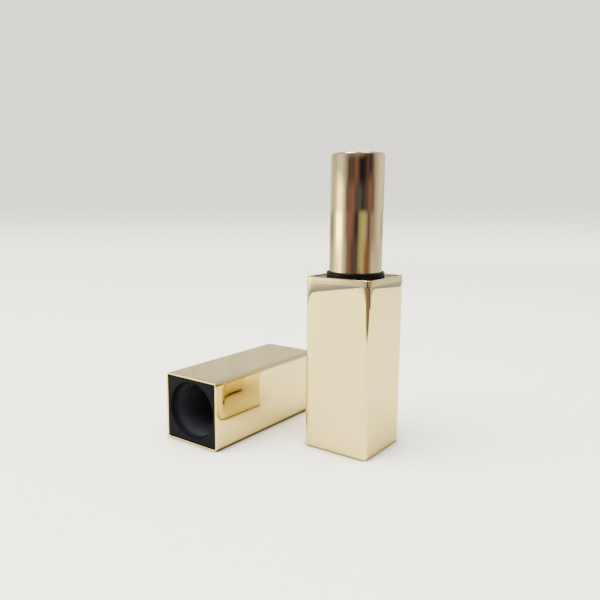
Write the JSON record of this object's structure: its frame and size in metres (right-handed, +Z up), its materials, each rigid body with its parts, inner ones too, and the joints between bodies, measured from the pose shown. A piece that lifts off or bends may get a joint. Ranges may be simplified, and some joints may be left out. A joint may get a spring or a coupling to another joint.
{
  "type": "lipstick case",
  "caption": "Slim square twist-up lipstick case in mirror gold, open, with its cap lying beside the standing base.",
  "frame": {"origin": "centre of the base's flat bottom face, on the mechanism's axis", "axes": "+Z up along the mechanism's axis; base faces look along X and Y; the cap lies parallel to Y with its mouth towards -Y"},
  "size_m": [0.0503, 0.0443, 0.0743],
  "materials": {
    "gold_metal": "mirror-polished champagne-gold plating",
    "black_plastic": "glossy moulded black",
    "natural_plastic": "natural, as moulded",
    "steel": "plain machined",
    "drag_rubber": "matte silicone"
  },
  "bodies": {
    "base": {"base_shell": "gold_metal", "base_insert": "black_plastic", "base_weight": "steel", "guide_tube": "natural_plastic", "drag_ring": "drag_rubber"},
    "sleeve_group": {"sleeve": "gold_metal", "spiral_tube": "natural_plastic"},
    "bullet_cup": {"cup": "black_plastic"},
    "cap": {"cap_shell": "gold_metal", "cap_liner": "black_plastic"}
  },
  "joints": [
    {"name": "sleeve_twist", "type": "hinge", "parent": "base", "child": "sleeve_group", "pos_m": [0, 0, 0.0265], "axis": [0, 0, -1], "range_deg": [0, 540]},
    {"name": "cup_rise", "type": "slide", "parent": "base", "child": "bullet_cup", "axis": [0, 0, 1], "range_m": [0, 0.028]},
    {"name": "cap_pull", "type": "slide", "parent": "base", "child": "cap", "axis": [0, 1, 0], "range_m": [0, 0.031]}
  ],
  "couplings": [
    {"joint": "cup_rise", "follows": "sleeve_twist", "m_per_rad": 0.0029709}
  ]
}
